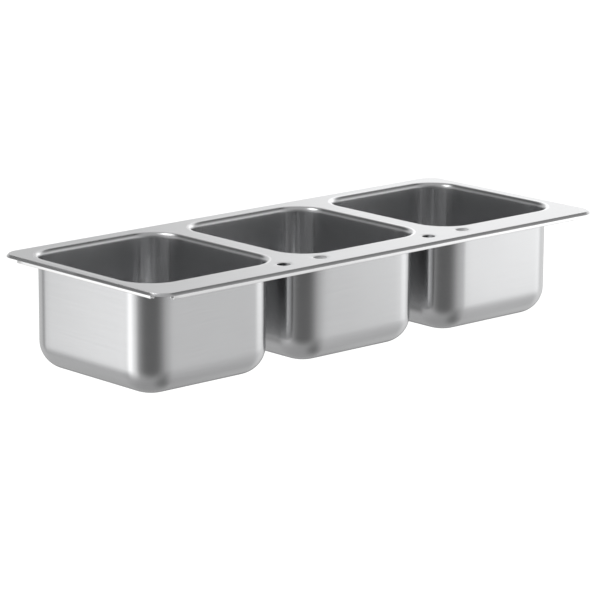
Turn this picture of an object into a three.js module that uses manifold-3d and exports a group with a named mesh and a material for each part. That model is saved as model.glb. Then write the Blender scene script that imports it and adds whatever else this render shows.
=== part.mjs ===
// Three compartment drop-in sink: a self-rimming stainless steel deck with three deep-drawn bowls,
// clip rails under the rim and a basket strainer in each bowl.
// Millimetres, +Z up. X runs along the sink, -Y is the side the user stands at, +Y the faucet ledge.
// The origin is the middle of the counter cut-out, in the plane of the counter top.

import * as THREE from 'three';
import { mergeVertices } from 'three/addons/utils/BufferGeometryUtils.js';
import Module from 'manifold-3d';

const wasm = await Module();
wasm.setup();

// ---- Driving dimensions ----

const SHEET = 1.2; // 18 gauge stainless steel
const GAP = 0.3; // between pieces that touch or are welded together

const RIM_LENGTH = 1270;
const RIM_WIDTH = 525;
const RIM_HEIGHT = 6; // deck top above the counter top
const RIM_CORNER_RADIUS = 40;
const RIM_SKIRT_RUN = 5; // the rim's edge slopes down to the counter over this width
const RIM_FOOT_WIDTH = 1.6; // cut edge of the sloping sheet where it rests on the counter

const BOWL_PITCH = 419;
const BOWL_CENTRE_Y = -22.5;
const BOWL_OUTLINE_X = 378; // where the rolled edge leaves the deck, 8.5 mm outside the bowl wall
const BOWL_OUTLINE_Y = 412;
const BOWL_OUTLINE_RADIUS = 81;
const BOWL_FLANGE = 3; // flat strip of the bowl outside its rolled edge, welded to the deck
const ROLL_RADIUS = 8.5;
const BOWL_DEPTH = 242; // deck top to the edge of the bowl floor
const BOWL_DRAFT = 0.001; // wall slope, horizontal per vertical
const FLOOR_RADIUS = 60; // between wall and floor
const FLOOR_FALL = 2; // the floor falls this much to the drain

const DRAIN_RECESS_RADIUS = 60;
const DRAIN_RECESS_DEPTH = 2.6;
const DRAIN_HOLE_RADIUS = 44.45; // standard 3 1/2 inch sink outlet

const FAUCET_HOLE_RADIUS = 14.3; // 1 1/8 inch
const FAUCET_HOLE_SPACING = 101.6; // 4 inch centres
const FAUCET_ROW_Y = 210;

const RAIL_WIDTH = 11;
const RAIL_DEPTH = 15;
const RAIL_SLOT = 6; // opening between the rail's turned-in lips
const RAIL_INSET = 12; // rim edge to the rail's outer face
const LONG_RAIL_LENGTH = 1180;
const SHORT_RAIL_LENGTH = 431;

const CUP_RADIUS = 42.5; // strainer body, outside of its threaded cup
const CUP_WALL = 2;
const CUP_DEPTH = 22.9; // flange top to the bottom of the cup
const FLANGE_RADIUS = 55;
const FLANGE_THICKNESS = 2;
const OUTLET_RADIUS = 23.9; // 1 1/2 inch pipe thread
const OUTLET_BORE_RADIUS = 19.5;
const OUTLET_LENGTH = 10;
const SPIDER_WIDTH = 3; // cross bars in the outlet
const SPIDER_HUB_RADIUS = 7;

const GASKET_THICKNESS = 3;
const FRICTION_RING_THICKNESS = 1;
const RING_BORE_RADIUS = 43;
const LOCK_NUT_HEIGHT = 8;
const LOCK_NUT_RADIUS = 50;
const LOCK_NUT_LUG_RADIUS = 54.5;
const LOCK_NUT_LUGS = 6;

const BASKET_SHEET = 0.8;
const BASKET_RIM_RADIUS = 39.8;
const BASKET_TOP_RADIUS = 38;
const BASKET_FLOOR_RADIUS = 33;
const BASKET_DEPTH = 14.7;
const BASKET_HOLE_RADIUS = 2.2;
const BASKET_HOLES = 8;
const BASKET_SLOTS = 10;

const POST_RADIUS = 3;
const KNOB_RADIUS = 9;
const KNOB_HEIGHT = 7;
const STOPPER_RADIUS = 24;
const STOPPER_THICKNESS = 4;
const POST_NUT_RADIUS = 5.5;
const POST_NUT_HEIGHT = 2.6;

const CORNER_STEPS = 8; // facets in a quarter turn of a plan corner, an even number
const ROUND_STEPS = 24; // facets in a full turn of a drain piece

// ---- Materials ----

const satinSteel = () => new THREE.MeshStandardMaterial({ color: 0xc9cacb, roughness: 0.38, metalness: 1 });
const rawSteel = () => new THREE.MeshStandardMaterial({ color: 0xd6d7d8, roughness: 0.3, metalness: 1 });
const polishedSteel = () => new THREE.MeshStandardMaterial({ color: 0xdadbdc, roughness: 0.16, metalness: 1 });
const castBrass = () => new THREE.MeshStandardMaterial({ color: 0xb08d57, roughness: 0.45, metalness: 1 });
const blackRubber = () => new THREE.MeshStandardMaterial({ color: 0x1c1c1d, roughness: 0.85, metalness: 0 });
const paleFibre = () => new THREE.MeshStandardMaterial({ color: 0xd8d2c0, roughness: 0.9, metalness: 0 });

// ---- Geometry helpers ----

// Merges shared vertices, drops collapsed triangles and turns every face outward.
function closed(source) {
  const bare = source.clone();
  bare.deleteAttribute('normal');
  bare.deleteAttribute('uv');
  const merged = mergeVertices(bare, 1e-4);
  const corners = merged.index.array;
  const kept = [];
  for (let i = 0; i < corners.length; i += 3) {
    const [a, b, c] = corners.slice(i, i + 3);
    if (a !== b && b !== c && c !== a) kept.push(a, b, c);
  }
  merged.setIndex(signedVolume(merged, kept) < 0 ? kept.reverse() : kept);
  merged.computeVertexNormals();
  return merged;
}

function signedVolume(geometry, corners) {
  const [a, b, c] = [new THREE.Vector3(), new THREE.Vector3(), new THREE.Vector3()];
  const position = geometry.attributes.position;
  let six = 0;
  for (let i = 0; i < corners.length; i += 3) {
    a.fromBufferAttribute(position, corners[i]);
    b.fromBufferAttribute(position, corners[i + 1]);
    c.fromBufferAttribute(position, corners[i + 2]);
    six += a.dot(b.cross(c));
  }
  return six / 6;
}

function toSolid(geometry) {
  const tidy = closed(geometry);
  const mesh = new wasm.Mesh({
    numProp: 3,
    vertProperties: new Float32Array(tidy.attributes.position.array),
    triVerts: new Uint32Array(tidy.index.array),
  });
  return new wasm.Manifold(mesh);
}

function toGeometry(solid) {
  const mesh = solid.getMesh();
  const geometry = new THREE.BufferGeometry();
  geometry.setAttribute('position', new THREE.BufferAttribute(mesh.vertProperties, 3));
  geometry.setIndex(new THREE.BufferAttribute(mesh.triVerts, 1));
  return closed(geometry);
}

function cut(geometry, tools) {
  let solid = toSolid(geometry);
  for (const tool of tools) solid = solid.subtract(toSolid(tool));
  return toGeometry(solid);
}

function join(geometry, additions) {
  let solid = toSolid(geometry);
  for (const addition of additions) solid = solid.add(toSolid(addition));
  return toGeometry(solid);
}

// A rectangle with round corners in the XY plane, sizes measured over all.
function roundedRectangle(length, width, radius) {
  const [x, y] = [length / 2 - radius, width / 2 - radius];
  const shape = new THREE.Shape();
  shape.absarc(x, y, radius, 0, Math.PI / 2);
  shape.absarc(-x, y, radius, Math.PI / 2, Math.PI);
  shape.absarc(-x, -y, radius, Math.PI, Math.PI * 1.5);
  shape.absarc(x, -y, radius, Math.PI * 1.5, Math.PI * 2);
  shape.closePath();
  return shape;
}

// ExtrudeGeometry gives an arc twice curveSegments facets.
function slab(shape, bottom, top) {
  const settings = { depth: top - bottom, bevelEnabled: false, curveSegments: CORNER_STEPS / 2 };
  const geometry = new THREE.ExtrudeGeometry(shape, settings);
  return geometry.translate(0, 0, bottom);
}

// An upright rod of round or polygonal section.
function rod(radius, bottom, top, sides = ROUND_STEPS) {
  const geometry = new THREE.CylinderGeometry(radius, radius, top - bottom, sides);
  return geometry.rotateX(Math.PI / 2).translate(0, 0, (bottom + top) / 2);
}

// A body turned about Z from [radius, z] points.
function turned(profile, steps = ROUND_STEPS) {
  const points = profile.map(([radius, z]) => new THREE.Vector2(radius, z));
  return new THREE.LatheGeometry(points, steps).rotateX(Math.PI / 2);
}

function flatRing(bore, outside, bottom, top, steps = ROUND_STEPS) {
  return turned([[bore, bottom], [outside, bottom], [outside, top], [bore, top], [bore, bottom]], steps);
}

// Repeats a tool in equal turns about Z.
function around(count, makeTool, startTurn = 0) {
  const tools = [];
  for (let i = 0; i < count; i += 1) {
    tools.push(makeTool().rotateZ(startTurn + (i / count) * Math.PI * 2));
  }
  return tools;
}

// Points round a rectangle with round corners, as [x, y, z].
function roundedRing(halfX, halfY, radius, z) {
  const ring = [];
  const quadrants = [[1, 1], [-1, 1], [-1, -1], [1, -1]];
  quadrants.forEach(([signX, signY], quarter) => {
    for (let step = 0; step <= CORNER_STEPS; step += 1) {
      const angle = (quarter + step / CORNER_STEPS) * (Math.PI / 2);
      const x = signX * (halfX - radius) + radius * Math.cos(angle);
      const y = signY * (halfY - radius) + radius * Math.sin(angle);
      ring.push([x, y, z]);
    }
  });
  return ring;
}

// A skin over rings that have equal numbers of points, from the last ring back to the first.
function loft(rings) {
  const count = rings[0].length;
  const index = [];
  rings.forEach((ring, level) => {
    const next = (level + 1) % rings.length;
    for (let i = 0; i < count; i += 1) {
      const j = (i + 1) % count;
      index.push(level * count + i, level * count + j, next * count + j);
      index.push(level * count + i, next * count + j, next * count + i);
    }
  });
  const geometry = new THREE.BufferGeometry();
  geometry.setAttribute('position', new THREE.Float32BufferAttribute(rings.flat(2), 3));
  geometry.setIndex(index);
  return geometry;
}

function part(name, geometry, material) {
  const mesh = new THREE.Mesh(closed(geometry), material);
  mesh.name = name;
  return mesh;
}

// ---- Deck ----

const bowlXs = { left: -BOWL_PITCH, centre: 0, right: BOWL_PITCH };

function faucetHoleXs() {
  const xs = [];
  for (const gapCentre of [-BOWL_PITCH / 2, BOWL_PITCH / 2]) {
    xs.push(gapCentre - FAUCET_HOLE_SPACING / 2, gapCentre + FAUCET_HOLE_SPACING / 2);
  }
  return xs;
}

// A block the shape of the rim, whose sides lean in towards the top by the skirt's slope.
function rimBlock(inset, bottom, top) {
  const outline = (z) => {
    const lean = inset + RIM_SKIRT_RUN * (z / RIM_HEIGHT);
    return roundedRing(RIM_LENGTH / 2 - lean, RIM_WIDTH / 2 - lean, RIM_CORNER_RADIUS - lean, z);
  };
  const middle = (z) => outline(z).map(() => [0, 0, z]);
  return loft([middle(bottom), outline(bottom), outline(top), middle(top)]);
}

// Top sheet with its edge sloping down to the counter, three bowl openings and the faucet holes.
function deckGeometry() {
  const outside = rimBlock(0, 0, RIM_HEIGHT);
  const tools = [rimBlock(RIM_FOOT_WIDTH, -1, RIM_HEIGHT - SHEET)];
  const margin = BOWL_FLANGE + GAP;
  const opening = roundedRectangle(
    BOWL_OUTLINE_X + 2 * margin,
    BOWL_OUTLINE_Y + 2 * margin,
    BOWL_OUTLINE_RADIUS + margin,
  );
  for (const x of Object.values(bowlXs)) {
    tools.push(slab(opening, -1, RIM_HEIGHT + 1).translate(x, BOWL_CENTRE_Y, 0));
  }
  for (const x of faucetHoleXs()) {
    tools.push(rod(FAUCET_HOLE_RADIUS, -1, RIM_HEIGHT + 1).translate(x, FAUCET_ROW_Y, 0));
  }
  return cut(outside, tools);
}

// ---- Bowls: z is measured from the deck top down ----

// Points along the middle of the sheet's upper face: inset from the outline, height and surface slope.
// The slope is the angle that the sheet has turned downward from flat.
function bowlProfile() {
  const points = [{ inset: -BOWL_FLANGE, z: 0, slope: 0 }];
  for (const degrees of [0, 30, 60, 90]) {
    const slope = THREE.MathUtils.degToRad(degrees);
    points.push({ inset: ROLL_RADIUS * Math.sin(slope), z: -ROLL_RADIUS * (1 - Math.cos(slope)), slope });
  }
  const wallEnd = -(BOWL_DEPTH - FLOOR_RADIUS);
  const drift = -wallEnd * BOWL_DRAFT;
  for (const degrees of [90, 72, 54, 36, 18, 0]) {
    const slope = THREE.MathUtils.degToRad(degrees);
    points.push({
      inset: ROLL_RADIUS + drift + FLOOR_RADIUS * (1 - Math.sin(slope)),
      z: wallEnd - FLOOR_RADIUS * Math.cos(slope),
      slope,
    });
  }
  return points;
}

function bowlRing(inset, z) {
  return roundedRing(BOWL_OUTLINE_X / 2 - inset, BOWL_OUTLINE_Y / 2 - inset, BOWL_OUTLINE_RADIUS - inset, z);
}

function drainRing(radius, z) {
  const count = 4 * (CORNER_STEPS + 1);
  const ring = [];
  for (let i = 0; i < count; i += 1) {
    const angle = ((i + 0.5) / count) * Math.PI * 2;
    ring.push([radius * Math.cos(angle), radius * Math.sin(angle), z]);
  }
  return ring;
}

// Upper face from the flange to the drain hole when lower is 0, underside when lower is the sheet.
function bowlFace(lower) {
  const rings = bowlProfile().map(({ inset, z, slope }) =>
    bowlRing(inset - lower * Math.sin(slope), z - lower * Math.cos(slope)));
  const fallen = -(BOWL_DEPTH + FLOOR_FALL) - lower;
  rings.push(drainRing(DRAIN_RECESS_RADIUS, fallen));
  rings.push(drainRing(DRAIN_RECESS_RADIUS - DRAIN_RECESS_DEPTH, fallen - DRAIN_RECESS_DEPTH));
  rings.push(drainRing(DRAIN_HOLE_RADIUS, fallen - DRAIN_RECESS_DEPTH));
  return rings;
}

// A sheet bowl as one closed skin: down the upper face, through the drain hole, back up the underside.
function bowlGeometry() {
  return loft([...bowlFace(0), ...bowlFace(SHEET).reverse()]);
}

// ---- Clip rails ----

// Channel with turned-in lips, open downward; it runs along X and hangs from z = 0.
function railGeometry(length) {
  const [half, slot] = [RAIL_WIDTH / 2, RAIL_SLOT / 2];
  const section = new THREE.Shape();
  section.moveTo(-half, 0);
  section.lineTo(-half, -RAIL_DEPTH);
  section.lineTo(-slot, -RAIL_DEPTH);
  section.lineTo(-slot, SHEET - RAIL_DEPTH);
  section.lineTo(SHEET - half, SHEET - RAIL_DEPTH);
  section.lineTo(SHEET - half, -SHEET);
  section.lineTo(half - SHEET, -SHEET);
  section.lineTo(half - SHEET, SHEET - RAIL_DEPTH);
  section.lineTo(slot, SHEET - RAIL_DEPTH);
  section.lineTo(slot, -RAIL_DEPTH);
  section.lineTo(half, -RAIL_DEPTH);
  section.lineTo(half, 0);
  section.closePath();
  const geometry = new THREE.ExtrudeGeometry(section, { depth: length, bevelEnabled: false });
  return geometry.translate(0, 0, -length / 2).rotateX(Math.PI / 2).rotateZ(Math.PI / 2);
}

function addRails(sink) {
  const top = RIM_HEIGHT - SHEET - GAP;
  const y = RIM_WIDTH / 2 - RAIL_INSET - RAIL_WIDTH / 2;
  const x = RIM_LENGTH / 2 - RAIL_INSET - RAIL_WIDTH / 2;
  for (const [name, side] of [['rail_front', -1], ['rail_back', 1]]) {
    const rail = part(name, railGeometry(LONG_RAIL_LENGTH), rawSteel());
    rail.position.set(0, side * y, top);
    sink.add(rail);
  }
  for (const [name, side] of [['rail_left', -1], ['rail_right', 1]]) {
    const rail = part(name, railGeometry(SHORT_RAIL_LENGTH), rawSteel());
    rail.position.set(side * x, 0, top);
    rail.rotation.z = Math.PI / 2;
    sink.add(rail);
  }
}

// ---- Drain: z is measured from the top of the strainer's flange ----

const recessTop = -(BOWL_DEPTH + FLOOR_FALL + DRAIN_RECESS_DEPTH);
const flangeTop = recessTop + GAP + FLANGE_THICKNESS;
const bowlUnderside = recessTop - SHEET - flangeTop;
const cupFloor = CUP_WALL - CUP_DEPTH;

// Flange, threaded cup and outlet spigot with its cross bars.
function strainerBodyGeometry() {
  const outletEnd = -CUP_DEPTH - OUTLET_LENGTH;
  const cupBore = CUP_RADIUS - CUP_WALL;
  const shell = turned([
    [OUTLET_BORE_RADIUS, cupFloor],
    [OUTLET_BORE_RADIUS, outletEnd],
    [OUTLET_RADIUS, outletEnd],
    [OUTLET_RADIUS, -CUP_DEPTH],
    [CUP_RADIUS - 3, -CUP_DEPTH],
    [CUP_RADIUS, 3 - CUP_DEPTH],
    [CUP_RADIUS, -FLANGE_THICKNESS],
    [FLANGE_RADIUS, -FLANGE_THICKNESS],
    [FLANGE_RADIUS, -0.8],
    [FLANGE_RADIUS - 3, 0],
    [cupBore + 2, 0],
    [cupBore, -2],
    [cupBore, cupFloor + 2],
    [cupBore - 2, cupFloor],
    [OUTLET_BORE_RADIUS, cupFloor],
  ]);
  const spiderTop = cupFloor - 4;
  const bar = new THREE.BoxGeometry(2 * OUTLET_BORE_RADIUS + CUP_WALL, SPIDER_WIDTH, SPIDER_WIDTH);
  bar.translate(0, 0, spiderTop - SPIDER_WIDTH / 2);
  const hub = rod(SPIDER_HUB_RADIUS, spiderTop - SPIDER_WIDTH, spiderTop, 12);
  return join(shell, [bar, bar.clone().rotateZ(Math.PI / 2), hub]);
}

function lockNutGeometry(top) {
  const ring = flatRing(CUP_RADIUS + GAP, LOCK_NUT_RADIUS, top - LOCK_NUT_HEIGHT, top);
  const lugs = around(LOCK_NUT_LUGS, () => {
    const depth = LOCK_NUT_LUG_RADIUS - CUP_RADIUS - 3;
    const lug = new THREE.BoxGeometry(depth, 9, LOCK_NUT_HEIGHT);
    return lug.translate(LOCK_NUT_LUG_RADIUS - depth / 2, 0, top - LOCK_NUT_HEIGHT / 2);
  });
  return join(ring, lugs);
}

const stopperTop = cupFloor + GAP + STOPPER_THICKNESS;
const basketFloor = stopperTop + GAP;

// Pressed cup with a turned-out rim, slots round its wall and holes round its floor.
function basketGeometry() {
  const rimTop = basketFloor + BASKET_DEPTH;
  const innerFloor = basketFloor + BASKET_SHEET;
  const shell = turned([
    [POST_RADIUS + GAP, basketFloor],
    [BASKET_FLOOR_RADIUS - 2, basketFloor],
    [BASKET_FLOOR_RADIUS, basketFloor + 2],
    [BASKET_TOP_RADIUS, rimTop - BASKET_SHEET],
    [BASKET_RIM_RADIUS, rimTop - BASKET_SHEET],
    [BASKET_RIM_RADIUS, rimTop],
    [BASKET_TOP_RADIUS - BASKET_SHEET, rimTop],
    [BASKET_FLOOR_RADIUS - BASKET_SHEET, innerFloor + 1.8],
    [BASKET_FLOOR_RADIUS - BASKET_SHEET - 1.6, innerFloor],
    [POST_RADIUS + GAP, innerFloor],
    [POST_RADIUS + GAP, basketFloor],
  ]);
  const holes = around(BASKET_HOLES, () =>
    rod(BASKET_HOLE_RADIUS, basketFloor - 1, innerFloor + 1, 6).translate(BASKET_FLOOR_RADIUS - 5.5, 0, 0));
  const slots = around(BASKET_SLOTS, () => {
    const slot = new THREE.BoxGeometry(8, 2.6, BASKET_DEPTH - 7);
    return slot.translate(BASKET_FLOOR_RADIUS + 3, 0, basketFloor + BASKET_DEPTH / 2 + 0.6);
  }, Math.PI / BASKET_SLOTS);
  return cut(shell, [...holes, ...slots]);
}

const postEnd = cupFloor - 3;
const knobTop = basketFloor + BASKET_DEPTH + 4;

function knobGeometry() {
  return turned([
    [0, postEnd],
    [POST_RADIUS, postEnd],
    [POST_RADIUS, knobTop - KNOB_HEIGHT],
    [KNOB_RADIUS - 2, knobTop - KNOB_HEIGHT],
    [KNOB_RADIUS, knobTop - KNOB_HEIGHT + 2],
    [KNOB_RADIUS, knobTop - 2],
    [KNOB_RADIUS - 2, knobTop - 0.5],
    [0, knobTop],
  ]);
}

function stopperGeometry() {
  return flatRing(POST_RADIUS + GAP, STOPPER_RADIUS, stopperTop - STOPPER_THICKNESS, stopperTop);
}

function postNutGeometry() {
  const hexagon = rod(POST_NUT_RADIUS, cupFloor - POST_NUT_HEIGHT, cupFloor, 6);
  const bore = rod(POST_RADIUS + GAP, cupFloor - POST_NUT_HEIGHT - 1, cupFloor + 1, 20);
  return cut(hexagon, [bore]);
}

function addDrain(bowl, side) {
  const drain = new THREE.Group();
  drain.position.z = flangeTop;
  const gasketTop = bowlUnderside - GAP;
  const frictionTop = gasketTop - GASKET_THICKNESS - GAP;
  const nutTop = frictionTop - FRICTION_RING_THICKNESS - GAP;
  const gasket = flatRing(RING_BORE_RADIUS, FLANGE_RADIUS - 1, gasketTop - GASKET_THICKNESS, gasketTop);
  const frictionRing = flatRing(RING_BORE_RADIUS, FLANGE_RADIUS - 2, nutTop + GAP, frictionTop);
  drain.add(part(`strainer_body_${side}`, strainerBodyGeometry(), polishedSteel()));
  drain.add(part(`drain_gasket_${side}`, gasket, blackRubber()));
  drain.add(part(`friction_ring_${side}`, frictionRing, paleFibre()));
  drain.add(part(`lock_nut_${side}`, lockNutGeometry(nutTop), castBrass()));
  drain.add(part(`basket_${side}`, basketGeometry(), polishedSteel()));
  drain.add(part(`basket_knob_${side}`, knobGeometry(), polishedSteel()));
  drain.add(part(`basket_stopper_${side}`, stopperGeometry(), blackRubber()));
  drain.add(part(`basket_nut_${side}`, postNutGeometry(), polishedSteel()));
  bowl.add(drain);
}

// ---- The sink ----

const sink = new THREE.Group();
sink.add(part('deck', deckGeometry(), satinSteel()));
addRails(sink);
for (const [side, x] of Object.entries(bowlXs)) {
  const bowl = new THREE.Group();
  bowl.position.set(x, BOWL_CENTRE_Y, RIM_HEIGHT);
  bowl.add(part(`bowl_${side}`, bowlGeometry(), satinSteel()));
  addDrain(bowl, side);
  sink.add(bowl);
}

export default sink;
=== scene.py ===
# Looks of the three compartment drop-in sink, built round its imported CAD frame.
# Metres, +Z up, origin in the middle of the counter cut-out. -Y is the user's side, +Y the faucet ledge.

import math

import bmesh
import bpy
import numpy as np
from mathutils import Matrix, Quaternion, Vector, noise
from mathutils.geometry import delaunay_2d_cdt


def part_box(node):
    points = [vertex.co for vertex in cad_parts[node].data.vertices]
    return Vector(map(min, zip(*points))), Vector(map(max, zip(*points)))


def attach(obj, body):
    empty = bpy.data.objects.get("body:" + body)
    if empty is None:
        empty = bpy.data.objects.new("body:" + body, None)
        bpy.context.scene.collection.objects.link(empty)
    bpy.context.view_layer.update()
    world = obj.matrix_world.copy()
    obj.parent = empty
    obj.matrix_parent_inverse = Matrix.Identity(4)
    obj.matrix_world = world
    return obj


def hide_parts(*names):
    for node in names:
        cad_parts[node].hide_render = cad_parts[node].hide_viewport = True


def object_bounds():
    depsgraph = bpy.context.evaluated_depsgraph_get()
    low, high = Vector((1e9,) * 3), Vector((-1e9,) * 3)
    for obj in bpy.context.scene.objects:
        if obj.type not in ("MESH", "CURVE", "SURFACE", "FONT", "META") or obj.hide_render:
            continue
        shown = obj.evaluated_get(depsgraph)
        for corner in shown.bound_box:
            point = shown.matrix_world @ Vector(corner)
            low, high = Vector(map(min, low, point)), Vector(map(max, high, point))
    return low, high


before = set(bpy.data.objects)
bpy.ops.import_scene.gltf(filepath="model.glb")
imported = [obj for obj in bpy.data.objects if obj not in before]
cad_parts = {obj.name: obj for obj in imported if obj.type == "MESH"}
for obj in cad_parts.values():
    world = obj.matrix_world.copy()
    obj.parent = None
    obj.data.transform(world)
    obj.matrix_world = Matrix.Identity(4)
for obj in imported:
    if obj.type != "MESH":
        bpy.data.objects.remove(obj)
cad_low, cad_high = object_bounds()

MM = 0.001
UP = Vector((0, 0, 1))
SIDES = ("left", "centre", "right")
SINK_BODY = "sink"

# ---- Driving dimensions ----

SHEET = 1.2 * MM
DECK_LOW, DECK_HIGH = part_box("deck")
DECK_TOP = DECK_HIGH.z
RIM_CORNER_RADIUS = 40 * MM
RIM_SKIRT_RUN = 5 * MM  # the rim's edge slopes down to the counter over this width
RIM_BEND_RADIUS = 3 * MM
CUT_EDGE_EASE = 0.2 * MM
DECK_MESH_SPACING = 12 * MM
DECK_SAG = 0.12 * MM  # on average, away from edges
SAG_FADE = 60 * MM  # the sag dies out over this distance to an edge

BOWL_FLANGE = 3 * MM  # flat strip outside the rolled edge, ground flush with the deck
WELD_GAP = 0.3 * MM  # the CAD solids keep this apart; the sheets here meet across it
BOWL_OUTLINE_RADIUS = 81 * MM
ROLL_RADIUS = 8.5 * MM
ROLL_DEPTH = 12 * MM  # the rolled edge runs out into the wall over a longer drop
BOWL_DEPTH = 242 * MM
BOWL_DRAFT = 0.001
FLOOR_RADIUS = 60 * MM
FLOOR_FALL = 2 * MM
DRAIN_RECESS_RADIUS = 60 * MM
DRAIN_RECESS_DEPTH = 2.6 * MM
DRAIN_HOLE_RADIUS = 44.45 * MM
WALL_BULGE = 0.35 * MM

FAUCET_HOLE_RADIUS = 14.3 * MM
FAUCET_HOLE_SPACING = 101.6 * MM
FAUCET_ROW_Y = 210 * MM

RAIL_SLOT = 6 * MM
RAIL_BEND_RADIUS = 1.8 * MM

STRAINER_FLANGE = 2 * MM
STRAINER_WALL = 2 * MM
CUP_RADIUS = 42.5 * MM
CUP_DEPTH = 22.9 * MM
OUTLET_RADIUS = 23.9 * MM
OUTLET_BORE_RADIUS = 19.5 * MM
THREAD_PITCH = 1.9 * MM
THREAD_DEPTH = 0.7 * MM
SPIDER_HUB_RADIUS = 7 * MM
SPIDER_BAR = 3 * MM

LOCK_NUT_LUGS = 6
SEAL_RING_BORE_RADIUS = 43 * MM

BASKET_SHEET = 0.8 * MM
BASKET_FOOT_RADIUS = 33 * MM
BASKET_MOUTH_RADIUS = 38 * MM
BASKET_WALL_RADIUS = 36 * MM  # about halfway up, where the slots are
BASKET_HOLES = 16
BASKET_HOLE_RADIUS = 2 * MM
BASKET_HOLE_RING_RADIUS = 27.3 * MM
BASKET_SLOTS = 20
BASKET_SLOT_LENGTH = 6.5 * MM
BASKET_SLOT_WIDTH = 2.4 * MM
POST_RADIUS = 3 * MM


# ---- Mesh helpers ----

def new_object(name, verts, faces):
    mesh = bpy.data.meshes.new(name)
    mesh.from_pydata([tuple(v) for v in verts], [], faces)
    mesh.validate()
    obj = bpy.data.objects.new(name, mesh)
    bpy.context.scene.collection.objects.link(obj)
    return obj


def orient(obj, up=None):
    """Makes the normals agree: outward on a closed mesh, or mostly towards up on an open sheet."""
    bm = bmesh.new()
    bm.from_mesh(obj.data)
    bmesh.ops.recalc_face_normals(bm, faces=bm.faces)
    if up is not None:
        lean = sum(f.normal.dot(up) * f.calc_area() for f in bm.faces)
        if lean < 0:
            bmesh.ops.reverse_faces(bm, faces=bm.faces)
    bm.to_mesh(obj.data)
    bm.free()
    return obj


def apply_modifiers(obj):
    graph = bpy.context.evaluated_depsgraph_get()
    graph.update()
    mesh = bpy.data.meshes.new_from_object(obj.evaluated_get(graph))
    obj.modifiers.clear()
    obj.data = mesh
    return obj


def thicken(obj, thickness):
    """Gives a sheet its thickness, behind the side that its normals are on."""
    solidify = obj.modifiers.new("sheet", "SOLIDIFY")
    solidify.thickness = thickness
    solidify.offset = -1
    solidify.use_even_offset = True
    solidify.use_quality_normals = True
    return apply_modifiers(obj)


def ease_edges(obj, width, degrees=60):
    """Breaks the sharp cut edges of a sheet or a machined piece."""
    bevel = obj.modifiers.new("eased", "BEVEL")
    bevel.width = width
    bevel.segments = 2
    bevel.limit_method = "ANGLE"
    bevel.angle_limit = math.radians(degrees)
    bevel.use_clamp_overlap = True
    return apply_modifiers(obj)


def smooth(obj, degrees=40):
    mesh = obj.data
    mesh.polygons.foreach_set("use_smooth", [True] * len(mesh.polygons))
    mesh.set_sharp_from_angle(angle=math.radians(degrees))
    mesh.update()
    return obj


def lay_uvs(obj, uv_of):
    """Gives the mesh UVs in metres from a function of a vertex's place."""
    mesh = obj.data
    layer = mesh.uv_layers.new(name="grain")
    for loop in mesh.loops:
        layer.data[loop.index].uv = uv_of(mesh.vertices[loop.vertex_index].co)
    return obj


def finish_piece(obj, material, body, slot, *nodes):
    obj.data.materials.clear()
    obj.data.materials.append(material)
    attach(obj, body)
    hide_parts(*nodes)
    return obj


def rounded_loop(half_x, half_y, radius, corner_steps=20, side_steps=(14, 16)):
    """Points round a rectangle with round corners, counter-clockwise: (x, y, outward x, outward y)."""
    loop = []
    corners = ((1, 1), (-1, 1), (-1, -1), (1, -1))
    for quarter, (sx, sy) in enumerate(corners):
        cx, cy = sx * (half_x - radius), sy * (half_y - radius)
        for step in range(corner_steps + 1):
            angle = (quarter + step / corner_steps) * math.pi / 2
            ox, oy = math.cos(angle), math.sin(angle)
            loop.append((cx + radius * ox, cy + radius * oy, ox, oy))
        x0, y0, ox, oy = loop[-1]
        straight = 2 * ((half_x if quarter % 2 == 0 else half_y) - radius)
        steps = side_steps[quarter % 2]
        for step in range(1, steps):
            along = straight * step / steps
            loop.append((x0 - oy * along, y0 + ox * along, ox, oy))
    return loop


def eased(share):
    """0 to 1 with a level start and end."""
    return share * share * (3 - 2 * share)


def circle(radius, steps, x=0.0, y=0.0):
    turns = [2 * math.pi * i / steps for i in range(steps)]
    return [(x + radius * math.cos(a), y + radius * math.sin(a)) for a in turns]


def inside(points, loop):
    """Which of the points lie inside a closed loop."""
    x, y = points[:, 0], points[:, 1]
    result = np.zeros(len(points), bool)
    for (x0, y0), (x1, y1) in zip(loop, np.roll(loop, -1, axis=0)):
        if y0 != y1:
            crosses = (y0 > y) != (y1 > y)
            result ^= crosses & (x < (x1 - x0) * (y - y0) / (y1 - y0) + x0)
    return result


def clearance(points, loop):
    nearest = np.full(len(points), np.inf)
    for corner in loop:
        nearest = np.minimum(nearest, np.hypot(*(points - corner).T))
    return nearest


def flat_region(outer, holes, spacing):
    """Triangulates a flat region with holes.

    Returns the points, the triangles and, loop by loop, the places of the loops' points.
    """
    loops = [np.array(loop) for loop in (outer, *holes)]
    low, high = loops[0].min(0), loops[0].max(0)
    xs = np.arange(low[0] + spacing / 2, high[0], spacing)
    ys = np.arange(low[1] + spacing / 2, high[1], spacing)
    grid = np.array([(x, y) for x in xs for y in ys])
    keep = inside(grid, loops[0])
    for loop in loops[1:]:
        keep &= ~inside(grid, loop)
    for loop in loops:
        keep &= clearance(grid, loop) > spacing * 0.5
    points, edges = [], []
    for loop in loops:
        first = len(points)
        points.extend(map(tuple, loop))
        edges.extend((first + i, first + (i + 1) % len(loop)) for i in range(len(loop)))
    points.extend(map(tuple, grid[keep]))
    made = delaunay_2d_cdt([Vector(p) for p in points], edges, [], 0, 1e-7)
    flat = np.array([tuple(p) for p in made[0]])
    triangles = np.array([tuple(f) for f in made[2]])
    centres = flat[triangles].mean(axis=1)
    wanted = inside(centres, loops[0])
    for loop in loops[1:]:
        wanted &= ~inside(centres, loop)
    where = {source: i for i, sources in enumerate(made[3]) for source in sources}
    places, first = [], 0
    for loop in loops:
        places.append([where[first + i] for i in range(len(loop))])
        first += len(loop)
    return flat, triangles[wanted].tolist(), places


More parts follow.
